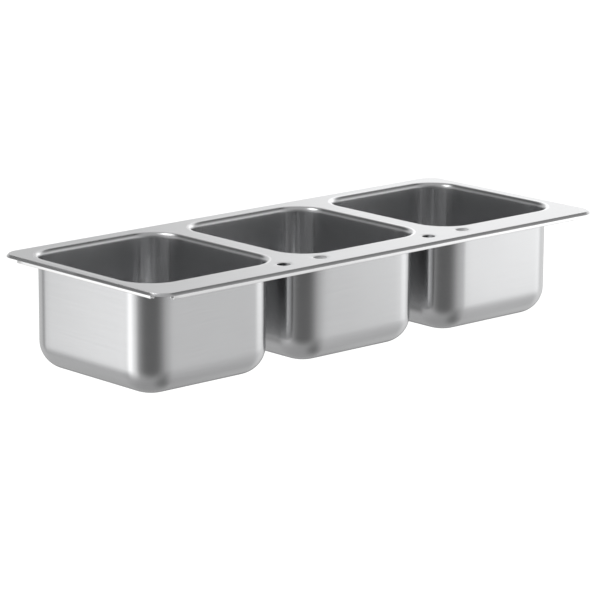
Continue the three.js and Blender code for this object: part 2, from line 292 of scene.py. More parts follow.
def arc(centre_r, centre_z, radius, start, end, steps=6):
    """(radius, z) points along an arc given in degrees, for a profile."""
    points = []
    for i in range(steps + 1):
        a = math.radians(start + (end - start) * i / steps)
        points.append((centre_r + radius * math.cos(a), centre_z + radius * math.sin(a)))
    return points


def lathe(name, profile, steps=96, reach=None):
    """Turns a closed (radius, z) profile about Z; reach(radius, turn), if given, changes each radius."""
    verts, faces = [], []
    count = len(profile)
    on_axis = [radius < 1e-9 for radius, _ in profile]
    places = []
    for (radius, z), single in zip(profile, on_axis):
        if single:
            places.append([len(verts)] * steps)
            verts.append((0, 0, z))
            continue
        places.append(list(range(len(verts), len(verts) + steps)))
        for i in range(steps):
            a = 2 * math.pi * i / steps
            r = reach(radius, a) if reach else radius
            verts.append((r * math.cos(a), r * math.sin(a), z))
    for level in range(count):
        after = (level + 1) % count
        if on_axis[level] and on_axis[after]:
            continue
        a, b = places[level], places[after]
        for i in range(steps):
            j = (i + 1) % steps
            faces.append(list(dict.fromkeys((a[i], a[j], b[j], b[i]))))
    return orient(new_object(name, verts, faces))


def thread(crest, top, bottom):
    """(radius, z) points of a screw thread's flanks, from top to bottom."""
    root, pitch = crest - THREAD_DEPTH, THREAD_PITCH
    points = []
    for turn in range(int((top - bottom) / pitch)):
        z = top - pitch * turn
        points += [(crest, z - 0.12 * pitch), (root, z - 0.46 * pitch)]
        points += [(root, z - 0.58 * pitch), (crest, z - 0.92 * pitch)]
    return points


def move(obj, x, y, z):
    obj.data.transform(Matrix.Translation((x, y, z)))
    return obj


def join_meshes(name, objects):
    """Puts several closed shells in one object."""
    bm = bmesh.new()
    for obj in objects:
        bm.from_mesh(obj.data)
        bpy.data.objects.remove(obj)
    mesh = bpy.data.meshes.new(name)
    bm.to_mesh(mesh)
    bm.free()
    joined = bpy.data.objects.new(name, mesh)
    bpy.context.scene.collection.objects.link(joined)
    return joined


# ---- Materials ----

GRAIN_SPACING = 0.4 * MM
GRAIN_LENGTH = 60 * MM


class Nodes:
    """A short way to build a node tree."""

    def __init__(self, tree):
        self.tree = tree
        tree.nodes.clear()

    def add(self, kind, inputs=None, **settings):
        node = self.tree.nodes.new(kind)
        for key, value in settings.items():
            setattr(node, key, value)
        for key, value in (inputs or {}).items():
            if isinstance(value, bpy.types.NodeSocket):
                self.tree.links.new(value, node.inputs[key])
            else:
                node.inputs[key].default_value = value
        return node

    def maths(self, operation, a, b=0.0):
        return self.add("ShaderNodeMath", {0: a, 1: b}, operation=operation).outputs[0]

    def total(self, *values):
        result = values[0]
        for value in values[1:]:
            result = self.maths("ADD", result, value)
        return result

    def remap(self, value, from_low, from_high, low, high, kind="LINEAR"):
        inputs = {
            "Value": value,
            "From Min": from_low,
            "From Max": from_high,
            "To Min": low,
            "To Max": high,
        }
        return self.add("ShaderNodeMapRange", inputs, interpolation_type=kind).outputs[0]

    def scaled(self, vector, scale):
        return self.add("ShaderNodeMapping", {"Vector": vector, "Scale": scale}).outputs[0]

    def noise(self, vector, scale=1.0, detail=2.0, roughness=0.5):
        inputs = {"Vector": vector, "Scale": scale, "Detail": detail, "Roughness": roughness}
        return self.add("ShaderNodeTexNoise", inputs).outputs["Fac"]

    def mix(self, factor, a, b):
        return self.add("ShaderNodeMix", {0: factor, 2: a, 3: b}, data_type="FLOAT").outputs[0]

    def grey_tint(self, color, amount):
        """A base colour made lighter and darker by amount, which is about 1."""
        return self.add("ShaderNodeVectorMath", {0: (*color,), 3: amount}, operation="SCALE").outputs[0]


def new_material(name):
    material = bpy.data.materials.new(name)
    material.use_nodes = True
    return material, Nodes(material.node_tree)


def close_material(material, nodes, shader):
    output = nodes.add("ShaderNodeOutputMaterial")
    nodes.tree.links.new(shader.outputs[0], output.inputs[0])
    return material


def grain(nodes, coords, layout, spacing, length):
    """Fine parallel scratches: layout says how the grain lies, along 'x', along 'y' or 'round' a bowl."""
    fine, slow = 1 / spacing, 1 / length
    scales = {"x": (slow, fine, fine), "y": (fine, slow, fine), "wall": (slow, slow, fine)}
    if layout != "round":
        return nodes.noise(nodes.scaled(coords, scales[layout]), 1.0, 3.0, 0.6)
    normal = nodes.add("ShaderNodeNewGeometry").outputs["Normal"]
    upright = nodes.add("ShaderNodeSeparateXYZ", {0: normal}).outputs[2]
    flatness = nodes.remap(nodes.maths("ABSOLUTE", upright), 0.55, 0.85, 0, 1, "SMOOTHSTEP")
    wall = nodes.noise(nodes.scaled(coords, scales["wall"]), 1.0, 3.0, 0.6)
    floor = nodes.noise(nodes.scaled(coords, scales["x"]), 1.0, 3.0, 0.6)
    return nodes.mix(flatness, wall, floor)


def satin_steel(name, color, roughness, layout, anisotropy, tangent, depth=0.002 * MM):
    """Brushed sheet with a grain, longer scratches and broad, faintly uneven patches."""
    material, n = new_material(name)
    coords = n.add("ShaderNodeTexCoord").outputs["Object"]
    fine = grain(n, coords, layout, GRAIN_SPACING, GRAIN_LENGTH)
    coarse = grain(n, coords, layout, GRAIN_SPACING * 6, GRAIN_LENGTH * 3)
    patches = n.noise(coords, 6.0, 3.0, 0.55)
    spots = n.noise(coords, 70.0, 4.0, 0.6)
    lines = n.mix(0.15, fine, coarse)
    broad = n.remap(patches, 0.3, 0.7, 0.98, 1.015)
    streaks = n.remap(coarse, 0.3, 0.7, 0.985, 1.012)
    clouds = n.maths("MULTIPLY", broad, streaks)
    amount = n.maths("MULTIPLY", n.remap(lines, 0.3, 0.7, 0.97, 1.02), clouds)
    rough = n.total(
        n.remap(lines, 0.3, 0.7, roughness - 0.01, roughness + 0.01),
        n.remap(patches, 0.3, 0.7, -0.01, 0.01),
        n.remap(spots, 0.35, 0.7, -0.003, 0.004),
    )
    bump = n.add("ShaderNodeBump", {"Height": lines, "Distance": depth, "Strength": 1.0})
    shader = n.add("ShaderNodeBsdfPrincipled", {
        "Base Color": n.grey_tint(color, amount), "Metallic": 1.0, "Roughness": rough,
        "Normal": bump.outputs[0], "Anisotropic": anisotropy, "Anisotropic Rotation": 0.25,
    })
    if tangent == "uv":
        brushing = n.add("ShaderNodeTangent", direction_type="UV_MAP", uv_map="grain")
    else:
        brushing = n.add("ShaderNodeTangent", direction_type="RADIAL", axis="Z")
    n.tree.links.new(brushing.outputs[0], shader.inputs["Tangent"])
    return close_material(material, n, shader)


def turned_metal(name, color, roughness, spacing, depth, wear):
    """Metal polished or turned on a lathe: fine rings, faint smears and small pits."""
    material, n = new_material(name)
    coords = n.add("ShaderNodeTexCoord").outputs["Object"]
    rings = n.noise(n.scaled(coords, (30, 30, 1 / spacing)), 1.0, 2.0, 0.5)
    smears = n.noise(coords, 60.0, 4.0, 0.6)
    pits = n.noise(coords, 900.0, 2.0, 0.5)
    amount = n.maths("MULTIPLY", n.remap(smears, 0.3, 0.7, 1 - wear, 1 + wear * 0.5),
                     n.remap(pits, 0.62, 0.8, 1.0, 1 - wear * 2))
    height = n.total(n.maths("MULTIPLY", rings, 0.5), n.maths("MULTIPLY", pits, wear * 3))
    bump = n.add("ShaderNodeBump", {"Height": height, "Distance": depth, "Strength": 1.0})
    shader = n.add("ShaderNodeBsdfPrincipled", {
        "Base Color": n.grey_tint(color, amount), "Metallic": 1.0, "Normal": bump.outputs[0],
        "Roughness": n.remap(smears, 0.3, 0.75, roughness * 0.75, roughness * 1.35),
    })
    return close_material(material, n, shader)


def matt_material(name, color, roughness, speckle, speckle_size, depth):
    """Rubber or pressed fibre: a matt ground with fine speckle and scuffs."""
    material, n = new_material(name)
    coords = n.add("ShaderNodeTexCoord").outputs["Object"]
    specks = n.noise(coords, 1 / speckle_size, 3.0, 0.7)
    scuffs = n.noise(coords, 120.0, 4.0, 0.65)
    amount = n.maths("MULTIPLY", n.remap(specks, 0.3, 0.7, 1 - speckle, 1 + speckle),
                     n.remap(scuffs, 0.4, 0.75, 1.0, 1 + speckle))
    bump = n.add("ShaderNodeBump", {"Height": specks, "Distance": depth, "Strength": 1.0})
    shader = n.add("ShaderNodeBsdfPrincipled", {
        "Base Color": n.grey_tint(color, amount), "Normal": bump.outputs[0], "Specular IOR Level": 0.4,
        "Roughness": n.remap(scuffs, 0.3, 0.7, roughness - 0.1, roughness + 0.05),
    })
    return close_material(material, n, shader)


STEEL = (0.632, 0.635, 0.642)
# The rails' steel gets a far lighter base colour than the deck's: painted light, standing in for the
# brighter light that falls on the rails.
RAIL_STEEL_PAINTED_LIGHTER = (0.96, 0.96, 0.96)
deck_steel = satin_steel("deck_steel", STEEL, 0.30, "x", 0.5, "uv")
bowl_steel = satin_steel("bowl_steel", STEEL, 0.24, "round", 0.8, "radial", depth=0.001 * MM)
# Rails: steel whose lighter base colour is painted light.
long_rail_steel = satin_steel("long_rail_steel", RAIL_STEEL_PAINTED_LIGHTER, 0.3, "x", 0.4, "uv")
short_rail_steel = satin_steel("short_rail_steel", RAIL_STEEL_PAINTED_LIGHTER, 0.3, "y", 0.4, "uv")
strainer_steel = turned_metal("strainer_steel", (0.66, 0.665, 0.675), 0.14, 0.25 * MM, 0.004 * MM, 0.03)
cast_brass = turned_metal("cast_brass", (0.55, 0.40, 0.18), 0.42, 0.5 * MM, 0.05 * MM, 0.12)
black_rubber = matt_material("black_rubber", (0.022, 0.022, 0.024), 0.75, 0.25, 0.5 * MM, 0.03 * MM)
pale_fibre = matt_material("pale_fibre", (0.56, 0.49, 0.36), 0.85, 0.18, 0.35 * MM, 0.05 * MM)


# ---- Deck and bowls ----

def bowl_box(side):
    """Middle and half size of the rolled edge's outline in a bowl's plan."""
    low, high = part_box(f"bowl_{side}")
    centre = (low + high) / 2
    half = (high - low) / 2
    return centre.x, centre.y, half.x - BOWL_FLANGE, half.y - BOWL_FLANGE


def bowl_loop(side, inset):
    cx, cy, half_x, half_y = bowl_box(side)
    loop = rounded_loop(half_x - inset, half_y - inset, BOWL_OUTLINE_RADIUS - inset)
    return [(cx + x, cy + y, ox, oy) for x, y, ox, oy in loop]


def sag(x, y, share):
    """How far the sheet dips below flat: a fraction of a millimetre, over long waves."""
    wave = noise.noise(Vector((x * 5.0, y * 6.0, 3.7)))
    return -DECK_SAG * (1 + wave) * share


def faucet_holes():
    holes = []
    middles = [(bowl_box(a)[0] + bowl_box(b)[0]) / 2 for a, b in (("left", "centre"), ("centre", "right"))]
    for middle in middles:
        for side in (-0.5, 0.5):
            holes.append(circle(FAUCET_HOLE_RADIUS, 64, middle + side * FAUCET_HOLE_SPACING, FAUCET_ROW_Y))
    return holes


def rim_rings():
    """Rings of the deck's upper face from the end of its flat top, round the bend and down the skirt."""
    half_x, half_y = DECK_HIGH.x, DECK_HIGH.y
    height = DECK_TOP - DECK_LOW.z
    slope = math.atan2(height, RIM_SKIRT_RUN)
    bend_start = RIM_SKIRT_RUN + RIM_BEND_RADIUS * math.tan(slope / 2)
    places = []
    for turned in np.linspace(0, slope, 8):
        drop = RIM_BEND_RADIUS * (1 - math.cos(turned))
        places.append((bend_start - RIM_BEND_RADIUS * math.sin(turned), drop))
    places.append((0.0, height))
    rings = []
    for inset, drop in places:
        loop = rounded_loop(half_x - inset, half_y - inset, RIM_CORNER_RADIUS - inset, 16, (60, 26))
        rings.append([(x, y, DECK_TOP - drop) for x, y, _, _ in loop])
    return rings


def outward(x, y):
    """Direction straight out of the rim at a point near its edge."""
    core_x = DECK_HIGH.x - RIM_CORNER_RADIUS
    core_y = DECK_HIGH.y - RIM_CORNER_RADIUS
    away = Vector((x - max(-core_x, min(core_x, x)), y - max(-core_y, min(core_y, y))))
    return away.normalized()


def level_foot(deck):
    """Trims the skirt's lower edge level with the counter top."""
    lean = RIM_SKIRT_RUN / (DECK_TOP - DECK_LOW.z)
    for vertex in deck.data.vertices:
        below = DECK_LOW.z - vertex.co.z
        if below > 0:
            step = outward(vertex.co.x, vertex.co.y) * below * lean
            vertex.co = (vertex.co.x - step.x, vertex.co.y - step.y, DECK_LOW.z)


def ease_deck_edges(deck):
    """Breaks the cut edges of the faucet holes and of the skirt's foot."""
    bm = bmesh.new()
    bm.from_mesh(deck.data)
    chosen = []
    for edge in bm.edges:
        if len(edge.link_faces) == 2 and edge.calc_face_angle() > math.radians(45):
            middle = (edge.verts[0].co + edge.verts[1].co) / 2
            in_faucet_row = abs(middle.y - FAUCET_ROW_Y) < 1.4 * FAUCET_HOLE_RADIUS
            at_hole = in_faucet_row and abs(middle.x) < DECK_HIGH.x / 2
            if at_hole or middle.z < DECK_LOW.z + 1 * MM:
                chosen.append(edge)
    bmesh.ops.bevel(bm, geom=chosen, offset=CUT_EDGE_EASE, segments=2, profile=0.5, affect="EDGES")
    bm.to_mesh(deck.data)
    bm.free()


def make_deck():
    rings = rim_rings()
    rim = [(x, y) for x, y, _ in rings[0]]
    openings = [[(x, y) for x, y, _, _ in bowl_loop(side, -BOWL_FLANGE - WELD_GAP)] for side in SIDES]
    holes = openings + faucet_holes()
    flat, triangles, places = flat_region(rim, holes, DECK_MESH_SPACING)
    away = np.minimum.reduce([clearance(flat, np.array(loop)) for loop in (rim, *holes)])
    verts = [(x, y, DECK_TOP + sag(x, y, min(1.0, d / SAG_FADE))) for (x, y), d in zip(flat, away)]
    faces = [tuple(t) for t in triangles]
    previous = places[0]
    for ring in rings[1:]:
        current = list(range(len(verts), len(verts) + len(ring)))
        verts.extend(ring)
        for i in range(len(ring)):
            j = (i + 1) % len(ring)
            faces.append((previous[i], previous[j], current[j], current[i]))
        previous = current
    deck = orient(new_object("deck_sheet", verts, faces), UP)
    thicken(deck, SHEET)
    level_foot(deck)
    ease_deck_edges(deck)

    def unfolded(co):
        drop = max(0.0, DECK_TOP - co.z)
        return co.x + math.copysign(drop, co.x), co.y + math.copysign(drop, co.y)

    lay_uvs(deck, unfolded)
    smooth(deck)
    return finish_piece(deck, deck_steel, SINK_BODY, "deck_steel", "deck")


def bowl_profile():
    """(inset from the outline, depth below the deck top) down the bowl's upper face to the floor's edge."""
    profile = [(-BOWL_FLANGE - WELD_GAP, 0.0)]
    for slope in np.radians(np.linspace(0, 90, 10)):
        profile.append((ROLL_RADIUS * math.sin(slope), ROLL_DEPTH * (1 - math.cos(slope))))
    wall_end = BOWL_DEPTH - FLOOR_RADIUS
    drift = wall_end * BOWL_DRAFT
    for share in np.linspace(0, 1, 14)[1:-1]:
        profile.append((ROLL_RADIUS + drift * share, ROLL_DEPTH + (wall_end - ROLL_DEPTH) * share))
    for slope in np.radians(np.linspace(90, 0, 19)):
        inset = ROLL_RADIUS + drift + FLOOR_RADIUS * (1 - math.sin(slope))
        profile.append((inset, wall_end + FLOOR_RADIUS * math.cos(slope)))
    return profile


def recess_profile():
    """(radius, depth) from the edge of the drain recess to the drain hole."""
    top = BOWL_DEPTH + FLOOR_FALL
    seat = top + DRAIN_RECESS_DEPTH
    width = DRAIN_RECESS_DEPTH  # its side slopes down at about 45 degrees
    points = []
    for share in np.linspace(0, 1, 7):
        points.append((DRAIN_RECESS_RADIUS - width * share, top + DRAIN_RECESS_DEPTH * eased(share)))
    points.append((DRAIN_HOLE_RADIUS + 6 * MM, seat))
    points.append((DRAIN_HOLE_RADIUS, seat))
    return points


def wall_bulge(x, y, depth):
    """Slight unevenness of a drawn wall, none at the rolled edge or the floor."""
    below_roll = max(0.0, min(1.0, (depth - 15 * MM) / (40 * MM)))
    above_floor = max(0.0, min(1.0, (BOWL_DEPTH - depth) / FLOOR_RADIUS))
    share = below_roll * above_floor
    return WALL_BULGE * share * noise.noise(Vector((x * 6.0, y * 6.0, depth * 7.0)))


def make_bowl(side):
    cx, cy, half_x, half_y = bowl_box(side)
    rings = []
    for inset, depth in bowl_profile():
        ring = []
        for x, y, ox, oy in bowl_loop(side, inset):
            swell = wall_bulge(x, y, depth)
            ring.append((x + ox * swell, y + oy * swell, DECK_TOP - depth))
        rings.append(ring)
    edge = rings[-1]
    floor_steps = 12
    turns = [math.atan2(y - cy, x - cx) for x, y, _ in edge]
    rim = [(cx + DRAIN_RECESS_RADIUS * math.cos(a), cy + DRAIN_RECESS_RADIUS * math.sin(a)) for a in turns]
    for step in range(1, floor_steps):
        share = step / floor_steps
        z = DECK_TOP - BOWL_DEPTH - FLOOR_FALL * eased(share)
        pairs = zip(edge, rim)
        rings.append([(x + (rx - x) * share, y + (ry - y) * share, z) for (x, y, _), (rx, ry) in pairs])
    for radius, depth in recess_profile():
        height = DECK_TOP - depth
        rings.append([(cx + radius * math.cos(a), cy + radius * math.sin(a), height) for a in turns])
    count = len(edge)
    verts = [v for ring in rings for v in ring]
    faces = []
    for level in range(len(rings) - 1):
        for i in range(count):
            j = (i + 1) % count
            a, b = level * count, (level + 1) * count
            faces.append((a + i, a + j, b + j, b + i))
    bowl = orient(new_object(f"bowl_shell_{side}", verts, faces), UP)
    thicken(bowl, SHEET)
    smooth(bowl)
    return finish_piece(bowl, bowl_steel, SINK_BODY, "bowl_steel", f"bowl_{side}")


# ---- Clip rails ----

def bent_path(corners, radius, steps=5):
    """A polyline with each inner corner rounded."""
    path = [corners[0]]
    for before, corner, after in zip(corners, corners[1:], corners[2:]):
        corner = Vector(corner)
        into = (corner - Vector(before)).normalized()
        out = (Vector(after) - corner).normalized()
        start, end = corner - into * radius, corner + out * radius
        centre = start + out * radius
        for step in range(steps + 1):
            a = step / steps * math.pi / 2
            path.append(tuple(centre - out * radius * math.cos(a) + into * radius * math.sin(a)))
    path.append(corners[-1])
    return path


def make_rail(name):
    low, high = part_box(name)
    size = high - low
    lengthwise = size.x > size.y
    half = min(size.x, size.y) / 2
    slot, depth, length = RAIL_SLOT / 2, size.z, max(size.x, size.y)
    corners = [(-slot, -depth), (-half, -depth), (-half, 0), (half, 0), (half, -depth), (slot, -depth)]
    path = bent_path(corners, RAIL_BEND_RADIUS)
    stations = np.linspace(-length / 2, length / 2, max(2, round(length / (20 * MM))))
    verts = [(s, y, z) for s in stations for y, z in path]
    faces = []
    for level in range(len(stations) - 1):
        for i in range(len(path) - 1):
            a, b = level * len(path) + i, (level + 1) * len(path) + i
            faces.append((a, a + 1, b + 1, b))
    rail = orient(new_object(f"{name}_channel", verts, faces), UP)
    thicken(rail, SHEET)
    ease_edges(rail, 0.15 * MM)
    lay_uvs(rail, lambda co: (co.x, co.y - co.z))
    if not lengthwise:
        rail.data.transform(Matrix.Rotation(math.pi / 2, 4, "Z"))
    centre = (low + high) / 2
    move(rail, centre.x, centre.y, high.z)
    smooth(rail)
    material = long_rail_steel if lengthwise else short_rail_steel
    return finish_piece(rail, material, SINK_BODY, "rail_steel", name)


# ---- Drain fittings: z is measured from the top of the strainer's flange ----

def drain_place(side):
    low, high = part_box(f"strainer_body_{side}")
    return (low.x + high.x) / 2, (low.y + high.y) / 2, high.z


def span(kind):
    """Lowest and highest z, and radius, of one kind of drain piece."""
    low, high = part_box(f"{kind}_centre")
    top = drain_place("centre")[2]
    return low.z - top, high.z - top, (high.x - low.x) / 2


def spread(shape, kind, label, body_of_side, material, slot):
    """Puts a copy of a drain piece in each bowl."""
    for side in SIDES:
        piece = bpy.data.objects.new(f"{label}_{side}", shape.data.copy())
        bpy.context.scene.collection.objects.link(piece)
        move(piece, *drain_place(side))
        finish_piece(piece, material, body_of_side(side), slot, f"{kind}_{side}")
    bpy.data.objects.remove(shape)


def fixed_body(side):
    return SINK_BODY


def basket_body(side):
    return f"strainer_basket_{side}"


def spider_bar(top):
    """One cross bar of the outlet, from the hub to the bore, with rounded long edges."""
    section = []
    half, round_over = SPIDER_BAR / 2, 0.8 * MM
    for sx, sz, start in ((1, 1, 0), (-1, 1, 90), (-1, -1, 180), (1, -1, 270)):
        section += arc(sx * (half - round_over), sz * (half - round_over), round_over, start, start + 90, 3)
    count = len(section)
    ends = (SPIDER_HUB_RADIUS - 1 * MM, OUTLET_BORE_RADIUS + 0.6 * MM)
    verts = [(x, y, top - half + z) for x in ends for y, z in section]
    faces = [tuple(range(count)), tuple(range(count, 2 * count))]
    faces += [(i, (i + 1) % count, count + (i + 1) % count, count + i) for i in range(count)]
    return orient(new_object("bar", verts, faces))


def ring_profile(bore, outside, bottom, top, ease):
    """A flat ring with eased edges."""
    return [
        (bore, bottom + ease), (bore + ease, bottom), (outside - ease, bottom), (outside, bottom + ease),
        (outside, top - ease), (outside - ease, top), (bore + ease, top), (bore, top - ease),
    ]


def strainer_shape():
    """Flange, threaded cup and threaded outlet, with the cross bars that guide the basket's post."""
    bottom, _, flange = span("strainer_body")
    bore = CUP_RADIUS - STRAINER_WALL
    cup_floor = STRAINER_WALL - CUP_DEPTH
    profile = [(OUTLET_BORE_RADIUS, cup_floor - 1 * MM), (OUTLET_BORE_RADIUS, bottom)]
    profile += [(OUTLET_RADIUS - THREAD_DEPTH, bottom)]
    profile += reversed(thread(OUTLET_RADIUS, -CUP_DEPTH - 0.6 * MM, bottom + 0.3 * MM))
    profile += [
        (OUTLET_RADIUS - THREAD_DEPTH, -CUP_DEPTH - 0.3 * MM),
        (OUTLET_RADIUS + 0.4 * MM, -CUP_DEPTH),
    ]
    profile += arc(CUP_RADIUS - 3.4 * MM, 2.6 * MM - CUP_DEPTH, 2.6 * MM, -90, 0)
    profile += reversed(thread(CUP_RADIUS, -5.5 * MM, 3.4 * MM - CUP_DEPTH))
    profile += [(CUP_RADIUS - THREAD_DEPTH, -5 * MM), (CUP_RADIUS - THREAD_DEPTH, -STRAINER_FLANGE)]
    profile += [(flange - 0.4 * MM, -STRAINER_FLANGE), (flange, -STRAINER_FLANGE + 0.4 * MM)]
    profile += arc(flange - 1.2 * MM, -1.2 * MM, 1.2 * MM, 0, 90, 5)
    profile += arc(bore + 2.2 * MM, -2.2 * MM, 2.2 * MM, 90, 180, 7)
    profile += reversed(arc(bore - 3 * MM, cup_floor + 3 * MM, 3 * MM, -90, 0, 7))
    profile += arc(OUTLET_BORE_RADIUS + 1 * MM, cup_floor - 1 * MM, 1 * MM, 90, 180, 4)[:-1]
    bar_top = cup_floor - 4 * MM
    hub_profile = ring_profile(0.4 * MM, SPIDER_HUB_RADIUS, bar_top - SPIDER_BAR, bar_top, 0.4 * MM)
    hub = lathe("hub", hub_profile, 48)
    parts = [lathe("shell", profile, 128), hub]
    for turn in range(4):
        bar = spider_bar(bar_top)
        bar.data.transform(Matrix.Rotation(turn * math.pi / 2, 4, "Z"))
        parts.append(bar)
    return smooth(join_meshes("strainer", parts), 50)


def ring_shape(kind, bore, ease):
    bottom, top, outside = span(kind)
    return smooth(lathe(kind, ring_profile(bore, outside, bottom, top, ease)), 50)


def lock_nut_shape():
    """A cast ring with lugs for a spanner and a threaded bore."""
    bottom, top, lug = span("lock_nut")
    rim, bore = 50 * MM, CUP_RADIUS + 0.3 * MM

    def with_lugs(radius, angle):
        if radius < rim - 1.5 * MM:
            return radius
        share = min(1.0, max(0.0, (math.cos(LOCK_NUT_LUGS * angle) - 0.78) / 0.14))
        return radius + (lug - rim) * eased(share)

    profile = [(bore + THREAD_DEPTH, bottom), (rim - 1 * MM, bottom), (rim, bottom + 0.8 * MM)]
    profile += [(rim, top - 0.8 * MM), (rim - 1 * MM, top), (bore + THREAD_DEPTH, top)]
    profile += thread(bore + THREAD_DEPTH, top - 0.2 * MM, bottom)
    return smooth(lathe("lock_nut", profile, 240, with_lugs), 50)


# ---- Strainer baskets ----

def basket_profile():
    """(radius, z) points up the basket's outer face, from the post hole to the turned-out rim."""
    bottom, top, rim = span("basket")
    bend, roll = 3 * MM, 1.4 * MM
    profile = [(POST_RADIUS + 0.3 * MM, bottom)]
    profile += arc(BASKET_FOOT_RADIUS - bend, bottom + bend, bend, -90, -15, 8)
    profile += reversed(arc(BASKET_MOUTH_RADIUS + roll, top - BASKET_SHEET - roll, roll, 90, 165, 6))
    return profile + [(rim, top - BASKET_SHEET)]


def slot_loop(centre, length, width, angle):
    """A round-ended slot that points away from the middle: centre and length along the radius."""
    loop = []
    for end, start in ((1, -90), (-1, 90)):
        loop += arc(centre + end * (length - width) / 2, 0, width / 2, start, start + 180)
    turn = complex(math.cos(angle), math.sin(angle))
    return [((complex(*p) * turn).real, (complex(*p) * turn).imag) for p in loop]


def basket_shape():
    """A pressed cup with holes round its floor and slots round its wall, laid out flat and folded up."""
    profile = basket_profile()
    lengths = [profile[0][0]]
    for (r0, z0), (r1, z1) in zip(profile, profile[1:]):
        lengths.append(lengths[-1] + math.hypot(r1 - r0, z1 - z0))
    holes = [circle(lengths[0], 32)]
    ring = BASKET_HOLE_RING_RADIUS
    for i in range(BASKET_HOLES):
        a = 2 * math.pi * i / BASKET_HOLES
        holes.append(circle(BASKET_HOLE_RADIUS, 16, ring * math.cos(a), ring * math.sin(a)))
    wall_middle = (lengths[0] + BASKET_FOOT_RADIUS + lengths[-1]) / 2 - 0.4 * MM
    flat_slot_width = BASKET_SLOT_WIDTH * wall_middle / BASKET_WALL_RADIUS
    for i in range(BASKET_SLOTS):
        a = 2 * math.pi * (i + 0.5) / BASKET_SLOTS
        holes.append(slot_loop(wall_middle, BASKET_SLOT_LENGTH, flat_slot_width, a))
    flat, triangles, _ = flat_region(circle(lengths[-1], 144), holes, 1.7 * MM)
    reach = np.hypot(flat[:, 0], flat[:, 1])
    radius = np.interp(reach, lengths, [p[0] for p in profile])
    height = np.interp(reach, lengths, [p[1] for p in profile])
    verts = [(x / d * r, y / d * r, z) for (x, y), d, r, z in zip(flat, reach, radius, height)]
    basket = orient(new_object("basket", verts, [tuple(t) for t in triangles]), -UP)
    return smooth(thicken(basket, BASKET_SHEET), 50)


def knob_shape():
    """The basket's knob and the post that runs down through its floor."""
    bottom, top, radius = span("basket_knob")
    neck, collar = 4.2 * MM, top - 7 * MM
    profile = [(0, bottom), (POST_RADIUS - 0.5 * MM, bottom), (POST_RADIUS, bottom + 0.5 * MM)]
    profile += [(POST_RADIUS, collar - 1.2 * MM), (neck, collar)]
    profile += reversed(arc(neck + 2.6 * MM, collar + 2.6 * MM, 2.6 * MM, 90, 180, 5))
    profile += arc(radius - 1.4 * MM, top - 2.2 * MM, 1.4 * MM, -60, 80, 8)
    profile += [(radius * 0.55, top - 0.15 * MM), (0, top)]
    return smooth(lathe("knob", profile, 64), 50)


def stopper_shape():
    """A rubber disc with a raised sealing lip under its edge."""
    bottom, top, radius = span("basket_stopper")
    bore, lift = POST_RADIUS + 0.3 * MM, 0.7 * MM
    profile = [(bore, bottom + lift), (radius - 7 * MM, bottom + lift)]
    profile += arc(radius - 3 * MM, bottom + 1.5 * MM, 1.5 * MM, -130, -30, 6)
    profile += [(radius, bottom + 1.8 * MM), (radius, top - 1.2 * MM)]
    profile += arc(radius - 0.9 * MM, top - 0.9 * MM, 0.9 * MM, 0, 90, 4)
    profile += [(bore + 0.3 * MM, top), (bore, top - 0.3 * MM)]
    return smooth(lathe("stopper", profile, 96), 50)


def post_nut_shape():
    """A hexagon nut with chamfered corners."""
    bottom, top, across = span("basket_nut")
    flats = across * math.cos(math.pi / 6)
    bore = POST_RADIUS + 0.3 * MM

    def hexagon(radius, angle):
        if radius < flats - 0.1 * MM:
            return radius
        sixth = math.pi / 3
        edge = flats / math.cos((angle % sixth) - sixth / 2)
        return min(radius, edge)

    chamfer = 0.45 * MM
    profile = [(bore, bottom), (flats, bottom), (across, bottom + chamfer), (across, top - chamfer)]
    profile += [(flats, top), (bore, top)]
    return smooth(lathe("post_nut", profile, 96, hexagon), 30)


def make_drains():
    spread(strainer_shape(), "strainer_body", "strainer_cup", fixed_body, strainer_steel, "strainer_steel")
    gasket = ring_shape("drain_gasket", SEAL_RING_BORE_RADIUS, 0.6 * MM)
    spread(gasket, "drain_gasket", "rubber_gasket", fixed_body, black_rubber, "black_rubber")
    washer = ring_shape("friction_ring", SEAL_RING_BORE_RADIUS, 0.2 * MM)
    spread(washer, "friction_ring", "fibre_washer", fixed_body, pale_fibre, "pale_fibre")
    spread(lock_nut_shape(), "lock_nut", "cast_lock_nut", fixed_body, cast_brass, "cast_brass")
    spread(basket_shape(), "basket", "pressed_basket", basket_body, strainer_steel, "strainer_steel")
    spread(knob_shape(), "basket_knob", "turned_knob", basket_body, strainer_steel, "strainer_steel")
    spread(stopper_shape(), "basket_stopper", "rubber_stopper", basket_body, black_rubber, "black_rubber")
    spread(post_nut_shape(), "basket_nut", "hex_nut", basket_body, strainer_steel, "strainer_steel")


# ---- Camera, floor and studio light ----

# The camera's place and lens come from a fit to the outlines in the photo, rounded.
CAMERA_AZIMUTH = math.radians(137.48)  # 0 looks along +Y, 90 along -X
CAMERA_ELEVATION = math.radians(13.29)
CAMERA_DISTANCE = 6.98
CAMERA_ROLL = math.radians(0.333)
CAMERA_LENS = 193.2
AIM_OFFSET = Vector((0.0143, -0.0080, -0.0141))  # from the middle of the CAD box
STUDIO_FLOOR_RADIUS = 1.7
STUDIO_FLOOR_DROP = 0.30  # from the sink's lowest point down to the floor


def make_camera():
    aim = (cad_low + cad_high) / 2 + AIM_OFFSET
    level = math.cos(CAMERA_ELEVATION)
    rise = math.sin(CAMERA_ELEVATION)
    back = Vector((math.sin(CAMERA_AZIMUTH) * level, -math.cos(CAMERA_AZIMUTH) * level, rise))
    data = bpy.data.cameras.new("photo_camera")
    data.lens = CAMERA_LENS
    data.sensor_width = 36
    data.clip_end = 100
    camera = bpy.data.objects.new("photo_camera", data)
    bpy.context.scene.collection.objects.link(camera)
    camera.rotation_mode = "QUATERNION"
    camera.location = aim + back * CAMERA_DISTANCE
    camera.rotation_quaternion = (-back).to_track_quat("-Z", "Y") @ Quaternion((0, 0, 1), CAMERA_ROLL)
    bpy.context.scene.camera = camera


